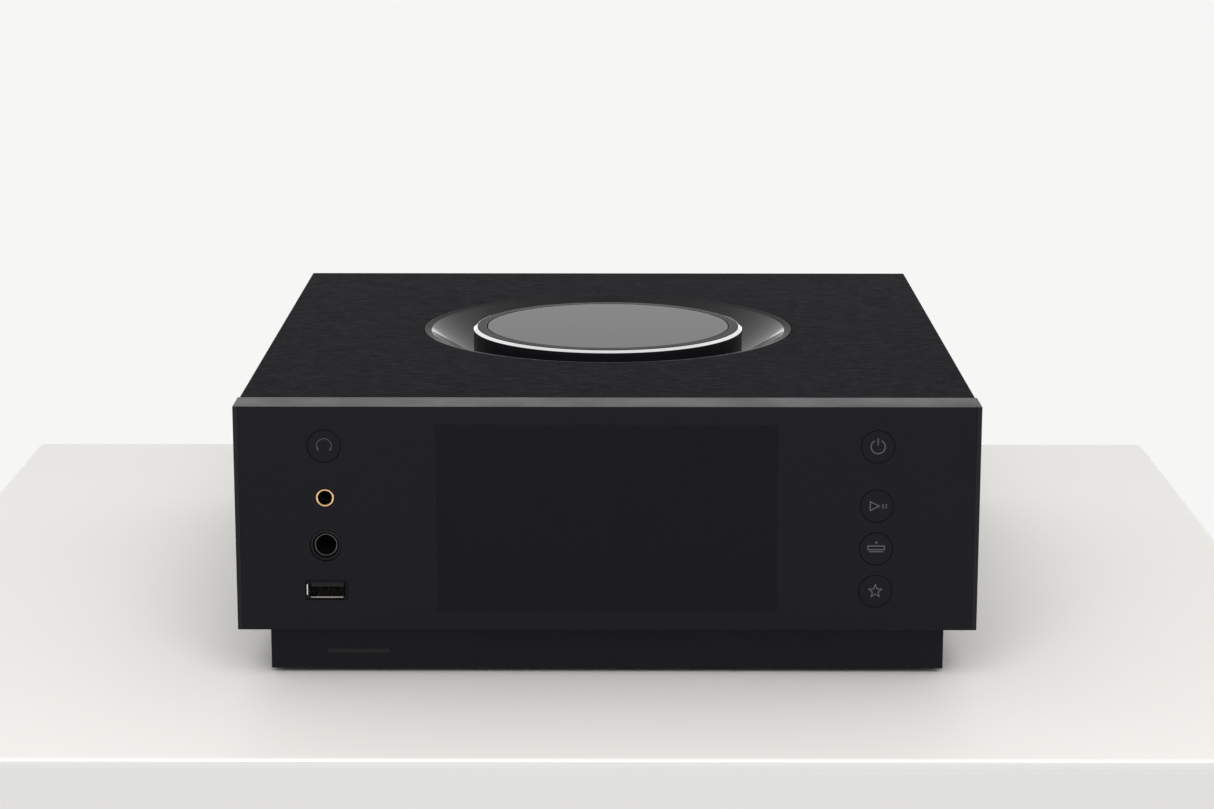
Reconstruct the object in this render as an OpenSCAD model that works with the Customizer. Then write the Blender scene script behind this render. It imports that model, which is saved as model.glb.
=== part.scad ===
// Desktop streaming player with a headphone amplifier, a rotary volume dial in a
// dished recess, a display fascia and finned aluminium sides.
// Origin: centre of the footprint on the table. X right, Y to the rear, Z up. Millimetres.

/* [Case] */
// Width of the fascia
case_w = 245; // [243:0.5:250]
// Depth from the fascia to the tips of the phono sockets
case_d = 265; // [263:0.5:270]
// Height of the top cover above the table
case_h = 94.3; // [94.3:0.1:97]
// Depth of the fascia and body without the sockets
body_d = 262; // [260:0.5:263]
// Thickness of the top cover
cover_t = 4; // [3.8:0.1:4]

/* [Fascia] */
// Front-to-back depth of the fascia moulding
fascia_d = 14.8; // [14.8:0.1:15.4]
// Height of the fascia's lower edge above the table
fascia_z = 18.6; // [18:0.1:18.6]
// Width of the display window
window_w = 112.3; // [104:0.1:114]
// Height of the display window
window_h = 63.4; // [60:0.1:64]
// Centre line of the headphone column
left_x = -92.8; // [-93.5:0.1:-92]
// Centre line of the button column
right_x = 88.7; // [87:0.1:90]
// Radius of a button cap
button_r = 5.35; // [5:0.05:5.6]
// How far a button goes in
button_travel = 0.6; // [0.4:0.05:0.6]

/* [Plinth and feet] */
// Width of the plinth
plinth_w = 226; // [225:0.5:228]
// Distance of the plinth behind the fascia
plinth_setback = 12; // [10:0.5:12]
// Radius of a rubber foot
foot_r = 10; // [8:0.5:11]
// Height of the plinth above the table
foot_drop = 1.6; // [1.2:0.1:2]

/* [Dial] */
// Radius of the volume wheel
dial_r = 50; // [49.9:0.05:50.2]
// Outer radius of the recess around the wheel
bowl_r = 68.35; // [67.5:0.05:69]
// Depth of the recess at the wheel
bowl_depth = 11.2; // [10:0.1:11.7]
// Distance of the dial's axis behind the fascia's front
dial_setback = 141.8; // [138:0.1:144]
// Number of balls in the dial's bearing
ball_count = 24; // [12:1:30]

/* [Heat sinks] */
// Number of fins on each side
fin_count = 35; // [20:1:40]
// Thickness of a fin
fin_t = 2.2; // [1.8:0.1:2.6]
// Reach of a fin from the heat sink's web
fin_reach = 9; // [6:0.5:9]

/* [Hidden] */
$fn = 64;

over = 1;             // how far a cutting shape runs past what it cuts
gap = 0.1;            // assembly gap between neighbouring fixed parts
seam = 0.4;           // shadow gap between the fascia and the body
screw_r = 1.45;       // M3 thread, a little under size
tap_r = 1.5;          // M3 tapped hole
pass_r = 1.6;         // M3 clearance hole
head_r = 2.75;        // M3 pan head
head_h = 1.8;

// Case planes
front_y = -case_d / 2;
back_y = front_y + body_d;
fascia_back = front_y + fascia_d;
body_front = fascia_back + seam;
cover_z = case_h - cover_t;
cover_w = case_w - 1.4;
wall_t = 3;                       // walls of the fascia's frame
panel_hw = case_w / 2 - 1.6;      // half width of the front plate
face_t = 2.5;                     // fascia's front wall
face_in = front_y + face_t;       // inner face of the front wall
face_mid_z = (fascia_z + case_h) / 2;

// Heat sink and tray planes
web_out = cover_w / 2 - 0.5 - fin_reach;
web_t = 3;
web_in = web_out - web_t;
rail_in = web_in - 6;
rail_h = 6;
rail_ends = [fascia_z + 4.5, cover_z - 3];
tray_t = 1.5;
tray_top = fascia_z + tray_t;
tray_hw = web_in - gap;
panel_t = 2;
panel_in = back_y - 7.5;          // front face of the rear panel
panel_out = panel_in + panel_t;
bulkhead_hw = rail_in - 0.3;

// Plinth
plinth_front = front_y + plinth_setback;
plinth_back = back_y - 10;
plinth_wall = 2.5;
plinth_floor = 2;
foot_pocket = 0.6;
foot_spots = [for (x = [-98, 98]) for (y = [-100, 100]) [x, y]];

// Controls: [x, z] of each
headphone_at = [left_x, 81.1];
power_at = [right_x, 81];
play_at = [right_x, 61];
input_at = [right_x, 46.5];
favourite_at = [right_x, 32];
right_buttons = [power_at, play_at, input_at, favourite_at];
buttons = concat([headphone_at], right_buttons);
balanced_at = [left_x, 63.6];
phones_at = [left_x, 47.4];
usb_at = [left_x, 32.2];

// Button stack, front to back
button_hole_r = button_r + 0.3;
cap_front = front_y + 0.05;
flange_front = face_in + 0.05;
flange_back = flange_front + 0.8;
carrier_front = flange_back + button_travel + 0.15;
carrier_t = 1.8;
stem_r = 2;
guide_r = 2.08;
board_front = front_y + 9.9;
board_t = 1.6;
switch_h = 3;
plunger_h = 0.7;
stem_end = board_front - switch_h - plunger_h - button_travel - 0.1;
fascia_bosses = [for (x = [-66, 66]) for (z = [27, 86]) [x, z]];
boss_r = 3;

// Headphone sockets
balanced_bore = 2.25;
balanced_ring_r = 3.05;
phones_bore = 3.25;
phones_bush_r = 5.2;
socket_board_y = front_y + 34.5;

// Dial stack, bottom to top
dial_y = front_y + dial_setback;
dial_top = case_h + 0.7;
wheel_top = dial_top - 0.8;
well_r = dial_r + 0.7;
bowl_floor_z = dial_top - 17;
bowl_floor_t = 2;
lip_in = bowl_r - 2.75;
bowl_foot_r = well_r + 0.5;
bowl_foot_z = case_h - 0.5 - bowl_depth;
bowl_wall = 2.6;                  // upright thickness of the conical wall
bowl_slope = bowl_depth / (lip_in - bowl_foot_r);
race_z = bowl_floor_z + 3.4;
race_h = 6;
race_mid = race_z + race_h / 2;
ball_r = 2;
ball_track = 38;
groove_r = ball_r + 0.05;
hub_r = 34;
web_z = race_z + race_h;
pcb_r = dial_r - 3.4;
pcb_z = web_z + 2.8;
pcb_t = 1.2;
hub_screws = [for (a = [90, 210, 330]) [20 * cos(a), 20 * sin(a)]];

// Transformer
coil_at = [-52, 46];
coil_r = 46;
coil_z = tray_top + 1.5;
coil_h = 38;

// Circuit boards: [x0, y0, x1, y1]
deck_z = tray_top + 7.9;
amp_area = [-100, -90, -6, -8];
power_area = [6, -104, 96, -45];
main_area = [5, -40, 100, 118];
main_holes = [[10, -35], [95, -35], [10, 98], [95, 92]];
capacitor_spots = [for (x = [30, 60]) for (y = [-90, -62]) [x, y]];

// Rear sockets: [x, z] of each
inlet_at = [-82, 42];
rocker_at = [-82, 70];
xlr_spots = [[-41, 50], [-13, 50]];
phono_spots = [[12, 38], [12, 56], [30, 38], [30, 56], [47, 38]];
phono_blocks = [[12, 2], [30, 2], [47, 1]];
optical_spots = [[62, 38], [75, 38]];
network_at = [91, 38.5];
aerial_spots = [[30, 77], [92, 77]];
phono_tip = case_d / 2;
phono_r = 4.15;
phono_bore = 1.6;

// A box given by two opposite corners
module slab(lo, hi) translate(lo) cube(hi - lo);

// Children drawn along +Z are set at [x, y, z] and turned to point along +Y
module facing_back(x, y, z) translate([x, y, z]) rotate([-90, 0, 0]) children();

// Cylinder along +Y from y0 to y1 at [x, z]
module rod_y(at, y0, y1, r) facing_back(at[0], y0, at[1]) cylinder(r = r, h = y1 - y0);

module ring(r_out, r_in, z0, z1)
  translate([0, 0, z0]) difference() {
    cylinder(r = r_out, h = z1 - z0);
    translate([0, 0, -over]) cylinder(r = r_in, h = z1 - z0 + 2 * over);
  }

// Rectangle with round corners, built from exact circles
module round_rect(w, h, r) {
  square([w, h - 2 * r], center = true);
  square([w - 2 * r, h], center = true);
  for (x = [-1, 1]) for (y = [-1, 1])
    translate([x * (w / 2 - r), y * (h / 2 - r)]) circle(r);
}

// Round-cornered bar along +Y from y0 to y1, centred on [x, z]
module bar_y(at, y0, y1, w, h, r)
  translate([at[0], y1, at[1]]) rotate([90, 0, 0]) linear_extrude(y1 - y0) round_rect(w, h, r);

// Pan-head screw with a hex socket; the head's seat is at z = 0 and the thread runs up
module screw(length, r = screw_r, hr = head_r, hh = head_h)
  difference() {
    union() {
      translate([0, 0, -hh]) cylinder(r = hr, h = hh);
      cylinder(r = r, h = length);
    }
    translate([0, 0, -hh - over]) cylinder(r = hr * 0.45, h = over + hh * 0.6, $fn = 6);
  }

// Wire of round section through points, with slightly swollen round elbows
module wire(points, r)
  for (i = [0 : len(points) - 2]) {
    step = points[i + 1] - points[i];
    turn = acos(step[2] / norm(step));
    heading = atan2(step[1], step[0]);
    translate(points[i]) rotate([0, turn, heading]) cylinder(r = r, h = norm(step), $fn = 24);
    if (i > 0) translate(points[i]) sphere(r * 1.05, $fn = 24);
  }

// ---------- Case ----------

module base_tray() color("dimgray") difference() {
  union() {
    slab([-tray_hw, body_front, fascia_z], [tray_hw, panel_in - gap, tray_top]);
    for (p = foot_spots) translate([p[0], p[1], tray_top]) cylinder(r = 3.5, h = 3);
    for (p = deck_posts()) translate([p[0], p[1], tray_top]) cylinder(r = 3, h = deck_z - tray_top);
  }
  for (p = foot_spots) translate([p[0], p[1], fascia_z - over]) cylinder(r = tap_r, h = 7);
  for (p = rail_screws()) translate([p[0], p[1], fascia_z - over]) cylinder(r = pass_r, h = 4);
  for (p = deck_posts()) translate([p[0], p[1], tray_top + 1]) cylinder(r = tap_r, h = 10);
  translate([coil_at[0], coil_at[1], fascia_z - over]) cylinder(r = 4.1, h = 4);
}

// Folded plate that carries the fascia
module bulkhead() color("silver") difference() {
  union() {
    slab([-bulkhead_hw, body_front, tray_top], [bulkhead_hw, body_front + tray_t, cover_z - 4]);
    slab([-70, body_front, tray_top], [70, body_front + 7, tray_top + tray_t]);
  }
  // opening behind the headphone and data sockets
  slab([-bulkhead_hw - over, body_front - over, 25], [left_x + 9.6, body_front + tray_t + over, 73]);
  // slot for the display ribbon
  slab([-22, body_front - over, 30], [22, body_front + tray_t + over, 36]);
  for (p = fascia_bosses) rod_y(p, body_front - over, body_front + tray_t + over, pass_r);
}

function deck_corners(a) =
  [for (x = [a[0] + 5, a[2] - 5]) for (y = [a[1] + 5, a[3] - 5]) [x, y]];
function deck_posts() = concat(deck_corners(amp_area), deck_corners(power_area), main_holes);
function rail_screws() =
  [for (x = [-1, 1]) for (y = [-80, 0, 85]) [x * (rail_in + 3), y]];

module plinth() color([0.09, 0.09, 0.1]) difference() {
  slab([-plinth_w / 2, plinth_front, foot_drop], [plinth_w / 2, plinth_back, fascia_z]);
  difference() {
    slab([-plinth_w / 2 + plinth_wall, plinth_front + plinth_wall, foot_drop + plinth_floor],
         [plinth_w / 2 - plinth_wall, plinth_back - plinth_wall, fascia_z + over]);
    for (p = foot_spots) translate([p[0], p[1], 0]) cylinder(r = 6, h = fascia_z);
  }
  for (p = foot_spots) translate([p[0], p[1], 0]) {
    cylinder(r = foot_r + 0.1, h = foot_drop + foot_pocket);
    cylinder(r = pass_r, h = fascia_z + over);
  }
  // cooling slots in the floor
  for (i = [-4 : 4]) slab([-40, i * 14 - 3, 0], [40, i * 14 + 3, foot_drop + plinth_floor + over]);
  // seat of the status window
  slab([-94, plinth_front - over, 7], [-73, plinth_front + plinth_wall + over, 8.4]);
}

module status_window() color([0.5, 0.5, 0.52]) {
  slab([-94, plinth_front, 7], [-73, plinth_front + plinth_wall, 8.4]);
  slab([-96, plinth_front + plinth_wall, 5.5], [-71, plinth_front + plinth_wall + 1.5, 9.9]);
}

module rubber_feet() color([0.05, 0.05, 0.05])
  for (p = foot_spots) translate([p[0], p[1], 0]) ring(foot_r, 3.6, 0, foot_drop + foot_pocket);

// Right-hand heat sink: a web with upright fins outside and screw rails inside
module heatsink() {
  pitch = (back_y - body_front - fin_t) / (fin_count - 1);
  difference() {
    union() {
      translate([0, 0, fascia_z]) linear_extrude(cover_z - fascia_z) {
        translate([web_in, body_front]) square([web_t, back_y - body_front]);
        for (i = [0 : fin_count - 1]) translate([web_out, body_front + fin_t / 2 + i * pitch]) {
          translate([-0.5, -fin_t / 2]) square([fin_reach + 0.5 - fin_t / 2, fin_t]);
          translate([fin_reach - fin_t / 2, 0]) circle(fin_t / 2);
        }
      }
      for (z = [tray_top, cover_z - rail_h])
        slab([rail_in, body_front, z], [web_in + 0.5, panel_in - gap, z + rail_h]);
    }
    for (y = [-80, 0, 85]) translate([rail_in + 3, y, tray_top - over]) cylinder(r = tap_r, h = 7);
    for (y = [-100, 5, 105])
      translate([rail_in + 3, y, cover_z - rail_h - over]) cylinder(r = pass_r, h = 8);
    for (z = rail_ends) rod_y([rail_in + 3, z], panel_in - 7, panel_in, tap_r);
  }
}

module right_heatsink() color([0.1, 0.1, 0.11]) heatsink();

module left_heatsink() color([0.1, 0.1, 0.11]) mirror([1, 0, 0]) heatsink();

module case_screws() color([0.2, 0.2, 0.2]) {
  // feet to the tray, through the plinth
  for (p = foot_spots) translate([p[0], p[1], foot_drop + foot_pocket])
    screw(tray_top + 2.5 - foot_drop - foot_pocket, hr = 3.2, hh = 1.7);
  // tray to the lower rails
  for (p = rail_screws()) translate([p[0], p[1], fascia_z]) screw(6);
  // upper rails to the cover
  for (x = [-1, 1]) for (y = [-100, 5, 105])
    translate([x * (rail_in + 3), y, cover_z - rail_h]) screw(8);
  // bulkhead to the threaded pillars on the back of the front plate
  for (p = fascia_bosses) {
    translate([p[0], body_front + tray_t, p[1]]) rotate([90, 0, 0]) screw(7);
    difference() {
      rod_y(p, face_in, body_front, boss_r);
      rod_y(p, face_in + 4, body_front + over, tap_r);
    }
  }
  // bowl to the cover
  for (p = bowl_screws()) translate([p[0], dial_y + p[1], cover_z - 2]) screw(4.5);
  // bowl and hub to the bearing's retainer
  for (p = hub_screws)
    translate([p[0], dial_y + p[1], bowl_floor_z - bowl_floor_t])
      screw(web_z + 1.4 - bowl_floor_z + bowl_floor_t);
  // boards to the tray
  for (p = deck_posts()) translate([p[0], p[1], deck_z + board_t]) rotate([180, 0, 0]) screw(6);
  // rear panel to the rails
  for (p = panel_screws())
    translate([p[0], panel_out, p[1]]) rotate([90, 0, 0]) screw(7);
}

function bowl_screws() = [for (a = [45, 135, 225, 315]) 73 * [cos(a), sin(a)]];
function panel_screws() = [for (x = [-1, 1]) for (z = rail_ends) [x * (rail_in + 3), z]];

module top_cover() color([0.17, 0.17, 0.19]) difference() {
  slab([-cover_w / 2, body_front, cover_z], [cover_w / 2, back_y, case_h]);
  translate([0, dial_y, cover_z - over]) cylinder(r = bowl_r + 0.25, h = cover_t + 2 * over);
  for (x = [-1, 1]) for (y = [-100, 5, 105])
    translate([x * (rail_in + 3), y, cover_z - over]) cylinder(r = tap_r, h = over + 2.6);
  for (p = bowl_screws()) translate([p[0], dial_y + p[1], cover_z - over])
    cylinder(r = tap_r, h = over + 2.8);
}

// ---------- Dial recess ----------

// Section of the dished recess: a straight conical wall round a flat well
module bowl_section() polygon([
  [8, bowl_floor_z - bowl_floor_t], [well_r + 2, bowl_floor_z - bowl_floor_t],
  [well_r + 2, bowl_foot_z + 1.5 * bowl_slope - bowl_wall],
  [bowl_foot_r + (cover_z - 2 + bowl_wall - bowl_foot_z) / bowl_slope, cover_z - 2],
  [77, cover_z - 2], [77, cover_z], [bowl_r, cover_z], [bowl_r, case_h], [bowl_r - 0.4, case_h],
  [lip_in + 0.3, case_h - 0.3], [lip_in, case_h - 0.5], [bowl_foot_r, bowl_foot_z],
  [well_r, bowl_foot_z - 0.4], [well_r, bowl_floor_z], [8, bowl_floor_z]
]);

module dial_bowl() color([0.12, 0.12, 0.13]) translate([0, dial_y, 0]) difference() {
  rotate_extrude() bowl_section();
  for (p = bowl_screws()) translate([p[0], p[1], cover_z - 2 - over])
    cylinder(r = pass_r, h = 2 + 2 * over);
  for (p = hub_screws) translate([p[0], p[1], bowl_floor_z - bowl_floor_t - over])
    cylinder(r = pass_r, h = bowl_floor_t + 2 * over);
}

module dial_hub() color("dimgray") translate([0, dial_y, 0]) difference() {
  union() {
    ring(hub_r + 2, 10, bowl_floor_z, bowl_floor_z + 2);
    ring(hub_r + 2, hub_r - 3.5, bowl_floor_z, race_z);
    ring(hub_r, hub_r - 3.5, bowl_floor_z, web_z);
    for (p = hub_screws) translate([p[0], p[1], bowl_floor_z]) cylinder(r = 3.5, h = web_z - bowl_floor_z);
  }
  for (p = hub_screws) translate([p[0], p[1], bowl_floor_z - over]) cylinder(r = pass_r, h = 20);
}

module race(r_in, r_out) translate([0, dial_y, 0]) difference() {
  ring(r_out, r_in, race_z, web_z);
  translate([0, 0, race_mid]) rotate_extrude() translate([ball_track, 0]) circle(groove_r);
}

module bearing_inner_race() color("silver") race(hub_r, ball_track - 1.4);

module bearing_outer_race() color("silver") race(ball_track + 1.4, ball_track + 4);

module bearing_balls() color("lightgray") translate([0, dial_y, race_mid]) {
  ring(ball_track + 0.4, ball_track - 0.4, -1.8, 2.2);
  for (i = [0 : ball_count - 1]) rotate(i * 360 / ball_count) translate([ball_track, 0, 0]) sphere(ball_r);
}

module bearing_retainer() color("dimgray") translate([0, dial_y, 0]) difference() {
  union() {
    ring(hub_r + 1.6, 12, web_z, web_z + 1.5);
    for (a = [30, 150, 270]) rotate(a) translate([27, 0, web_z + 1.5]) cylinder(r = 2, h = pcb_z - web_z - 1.5);
  }
  for (p = hub_screws) translate([p[0], p[1], web_z - over]) cylinder(r = tap_r, h = 4);
}

module dial_board() color("darkgreen") translate([0, dial_y, 0]) {
  ring(pcb_r, 2, pcb_z, pcb_z + pcb_t);
  for (i = [0 : 23]) rotate(i * 15) translate([pcb_r - 4, -0.8, pcb_z + pcb_t - 0.1]) cube([1.6, 1.6, 0.8]);
  difference() {
    translate([-3, -5, pcb_z - 4.5]) cube([6, 10, 4.6]);
    translate([-2, -4, pcb_z - 4.5 - over]) cube([4, 8, over + 3]);
  }
}

module dial_lens() color([0.35, 0.35, 0.36]) translate([0, dial_y, 0]) {
  translate([0, 0, dial_top - 1.2]) cylinder(r = dial_r - 5.2, h = 1.2);
  ring(40, 38, pcb_z + pcb_t, dial_top - 1.1);
}

module dial_light_ring() color([0.3, 0.3, 0.31]) translate([0, dial_y, 0]) {
  ring(dial_r - 1.5, dial_r - 4.9, dial_top - 0.8, dial_top);
  ring(pcb_r, dial_r - 4.9, pcb_z + pcb_t, dial_top - 0.7);
}

// The turning wheel: outer wall, web and bearing seat
module dial_wheel() color([0.06, 0.06, 0.07]) translate([0, dial_y, 0]) rotate_extrude() polygon([
  [dial_r, bowl_floor_z + 1.6], [dial_r, wheel_top - 0.1], [dial_r - 0.8, wheel_top - 0.1],
  [dial_r - 0.8, wheel_top - 1.5], [dial_r - 2.8, wheel_top - 1.5], [dial_r - 2.8, web_z + 2],
  [ball_track + 2.6, web_z + 2], [ball_track + 2.6, web_z], [ball_track + 4, web_z],
  [ball_track + 4, race_z - 0.6], [ball_track + 6, race_z - 0.6], [ball_track + 6, web_z],
  [dial_r - 2.8, web_z], [dial_r - 2.8, bowl_floor_z + 1.6]
]);

// Polished rim with its conical face
module dial_rim() color("white") translate([0, dial_y, 0]) rotate_extrude() polygon([
  [dial_r - 0.8, wheel_top - 1.5], [dial_r - 0.8, wheel_top - 0.1], [dial_r, wheel_top - 0.1],
  [dial_r, wheel_top], [dial_r - 1, dial_top], [dial_r - 1.3, dial_top],
  [dial_r - 1.3, wheel_top - 0.3], [dial_r - 2.8, wheel_top - 0.3], [dial_r - 2.8, wheel_top - 1.5]
]);

// ---------- Fascia ----------

// Frame round the fascia, open at the front and the back
module front_fascia() color([0.11, 0.11, 0.12]) difference() {
  slab([-case_w / 2, front_y, fascia_z], [case_w / 2, fascia_back, case_h]);
  slab([-panel_hw - 0.05, front_y - over, fascia_z - over], [panel_hw + 0.05, face_in, case_h + over]);
  slab([-case_w / 2 + wall_t, face_in - over, fascia_z + wall_t],
       [case_w / 2 - wall_t, fascia_back + over, case_h - wall_t]);
}

// Flat front plate
module front_panel() color([0.12, 0.12, 0.13]) difference() {
  slab([-panel_hw, front_y, fascia_z], [panel_hw, face_in, case_h]);
  slab([-window_w / 2, front_y - over, face_mid_z - window_h / 2],
       [window_w / 2, face_in + over, face_mid_z + window_h / 2]);
  for (p = buttons) rod_y(p, front_y - over, face_in + over, button_hole_r);
  rod_y(balanced_at, front_y - over, face_in + over, balanced_ring_r + 0.05);
  rod_y(phones_at, front_y - over, face_in + over, phones_bush_r + 0.15);
  bar_y(usb_at, front_y - over, face_in + over, 14.3, 6.9, 0.9);
}

module display_window() color([0.09, 0.09, 0.1])
  slab([-window_w / 2, front_y, face_mid_z - window_h / 2],
       [window_w / 2, face_in, face_mid_z + window_h / 2]);

module display_module() {
  color("black") slab([-59, face_in, face_mid_z - 34], [59, face_in + 2.4, face_mid_z + 34]);
  color("silver") slab([-58, face_in + 2.4, face_mid_z - 33], [58, face_in + 6.4, face_mid_z + 33]);
}

module front_board() color("darkgreen") difference() {
  slab([-114, board_front, 24], [114, board_front + board_t, 89]);
  slab([-114 - over, board_front - over, 24 - over], [left_x + 11.8, board_front + board_t + over, 73]);
  for (p = fascia_bosses) rod_y(p, board_front - over, board_front + board_t + over, boss_r + 0.3);
}

module button_switches() color("black") for (p = buttons) {
  slab([p[0] - 3, board_front - switch_h, p[1] - 3], [p[0] + 3, board_front, p[1] + 3]);
  rod_y(p, board_front - switch_h - plunger_h, board_front - switch_h + 0.1, 1.6);
}

module button_carrier() color("black") difference() {
  union() {
    slab([right_x - 7.5, carrier_front, 25], [right_x + 7.5, carrier_front + carrier_t, 88]);
    slab([left_x - 7.5, carrier_front, 74], [left_x + 7.5, carrier_front + carrier_t, 88]);
    for (p = concat([for (x = [-4.8, 4.8]) for (z = [39.2, 71]) [right_x + x, z]],
                    [for (x = [-5.5, 5.5]) [left_x + x, 76]]))
      rod_y(p, carrier_front + 0.2, board_front, 1.4);
  }
  for (p = buttons) rod_y(p, carrier_front - over, carrier_front + carrier_t + over, guide_r);
}

module button(at) color([0.1, 0.1, 0.11]) {
  rod_y(at, cap_front, flange_back, button_r);
  rod_y(at, flange_front, flange_back, button_r + 1.2);
  rod_y(at, flange_back - 0.1, stem_end, stem_r);
}

module headphone_button() button(headphone_at);
module power_button() button(power_at);
module play_button() button(play_at);
module input_button() button(input_at);
module favourite_button() button(favourite_at);

// Gold bush of the balanced headphone socket
module balanced_jack_ring() color("gold") difference() {
  union() {
    rod_y(balanced_at, front_y, face_in + 3.5, balanced_ring_r);
    rod_y(balanced_at, face_in, face_in + 1.2, balanced_ring_r + 1.4);
  }
  rod_y(balanced_at, front_y - over, face_in + 3.5 + over, balanced_bore);
}

module balanced_jack_body() color([0.07, 0.07, 0.07]) difference() {
  slab([left_x - 6, face_in + 1.2, balanced_at[1] - 6], [left_x + 6, socket_board_y, balanced_at[1] + 6]);
  rod_y(balanced_at, face_in, face_in + 3.5, balanced_ring_r);
  rod_y(balanced_at, face_in, face_in + 18, balanced_bore);
}

// Nose of the large headphone socket, with a conical lead-in
module headphone_jack_bush() color([0.08, 0.08, 0.08]) difference() {
  union() {
    rod_y(phones_at, front_y + 0.3, face_in + 3, phones_bush_r);
    rod_y(phones_at, face_in, face_in + 1.5, phones_bush_r + 1.8);
  }
  rod_y(phones_at, front_y - over, face_in + 3 + over, phones_bore);
  facing_back(phones_at[0], front_y + 0.3, phones_at[1]) cylinder(r1 = phones_bore + 1.1, r2 = phones_bore, h = 1.1);
}

module headphone_jack_body() color([0.07, 0.07, 0.07]) difference() {
  slab([left_x - 8, face_in + 1.5, phones_at[1] - 8], [left_x + 8, socket_board_y, phones_at[1] + 8]);
  rod_y(phones_at, face_in, face_in + 3, phones_bush_r);
  rod_y(phones_at, face_in, face_in + 28, phones_bore);
}

module usb_shell() color("silver") difference() {
  bar_y(usb_at, front_y + 0.9, front_y + 19, 13.1, 5.7, 0.5);
  bar_y(usb_at, front_y - over, front_y + 19 + over, 12.5, 5.1, 0.3);
}

module usb_tongue() color([0.06, 0.06, 0.06]) {
  slab([left_x - 5.5, front_y + 3, usb_at[1] + 0.3], [left_x + 5.5, front_y + 13, usb_at[1] + 2.1]);
  slab([left_x - 6.1, front_y + 12.9, usb_at[1] - 2.4], [left_x + 6.1, socket_board_y, usb_at[1] + 2.4]);
}

module socket_board() color("darkgreen")
  slab([left_x - 8.6, socket_board_y, 26], [left_x + 8.6, socket_board_y + board_t, 72]);

// ---------- Inside ----------

module transformer() color([0.75, 0.6, 0.2]) translate([coil_at[0], coil_at[1], coil_z + coil_h / 2])
  rotate_extrude() translate([(18 + coil_r) / 2, 0]) round_rect(coil_r - 18, coil_h, 6);

module transformer_pads() color([0.08, 0.08, 0.08]) translate([coil_at[0], coil_at[1], 0]) {
  ring(44, 5, tray_top, coil_z);
  ring(38, 5, coil_z + coil_h, coil_z + coil_h + 1.5);
}

// Dished washer, centre bolt and nut
module transformer_clamp() color("silver") translate([coil_at[0], coil_at[1], 0]) {
  plate_z = coil_z + coil_h + 1.5;
  ring(34, 4, plate_z, plate_z + 2);
  translate([0, 0, fascia_z - 4]) cylinder(r = 6.5, h = 4, $fn = 6);
  translate([0, 0, fascia_z - 0.1]) cylinder(r = 4, h = plate_z + 12 - fascia_z);
  translate([0, 0, plate_z + 1.9]) cylinder(r = 7, h = 6.5, $fn = 6);
}

// Circuit board over an area with holes at the given points
module deck(area, holes) difference() {
  slab([area[0], area[1], deck_z], [area[2], area[3], deck_z + board_t]);
  for (p = holes) translate([p[0], p[1], deck_z - over]) cylinder(r = pass_r, h = board_t + 2 * over);
}

module power_board() color("darkgreen") {
  deck(power_area, deck_corners(power_area));
  // rectifier and fuse holder
  slab([75, -88, deck_z + board_t - 0.1], [91, -83, deck_z + 22]);
  slab([74, -66, deck_z + board_t - 0.1], [90, -58, deck_z + 11]);
}

module reservoir_capacitors() color([0.12, 0.12, 0.2])
  for (p = capacitor_spots) translate([p[0], p[1], deck_z + board_t]) {
    cylinder(r = 12.5, h = 35);
  }

module main_board() color("darkgreen") {
  deck(main_area, main_holes);
  // converter chips and regulators
  for (y = [44, 62, 80]) slab([20, y, deck_z + board_t - 0.1], [30, y + 10, deck_z + board_t + 1.2]);
  for (x = [50, 64, 78]) slab([x, 60, deck_z + board_t - 0.1], [x + 8, 68, deck_z + board_t + 1.2]);
  slab([8, 4, deck_z + board_t - 0.1], [18, 14, deck_z + board_t + 6]);
}

module shield_can() color("silver") difference() {
  slab([24, -28, deck_z + board_t], [84, 34, deck_z + board_t + 9]);
  slab([24.4, -27.6, deck_z + board_t - over], [83.6, 33.6, deck_z + board_t + 8.6]);
}

module amplifier_board() color("darkgreen") {
  deck(amp_area, deck_corners(amp_area));
  // driver transistors and film capacitors
  for (x = [-80 : 14 : -24]) slab([x, -60, deck_z + board_t - 0.1], [x + 5, -48, deck_z + board_t + 11]);
  for (x = [-76 : 14 : -20]) slab([x, -32, deck_z + board_t - 0.1], [x + 8, -28, deck_z + board_t + 9]);
}

// Output transistors clamped to the heat sinks, with their legs bent to the boards
module output_transistors() color([0.08, 0.08, 0.08]) {
  for (y = [-82, -62, -42, -22]) mirror([1, 0, 0]) transistor(y, -amp_area[0]);
  for (y = [-82, -62]) transistor(y, power_area[2]);
}

module transistor(y, edge) {
  slab([web_in - 5, y - 8, 42], [web_in, y + 8, 63]);
  for (dy = [-5.45, 0, 5.45]) {
    slab([web_in - 3, y + dy - 0.6, 36], [web_in - 2, y + dy + 0.6, 42.1]);
    slab([edge - 3, y + dy - 0.6, 36], [web_in - 2, y + dy + 0.6, 37]);
    slab([edge - 3, y + dy - 0.6, deck_z + board_t], [edge - 2, y + dy + 0.6, 36.1]);
  }
}

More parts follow.
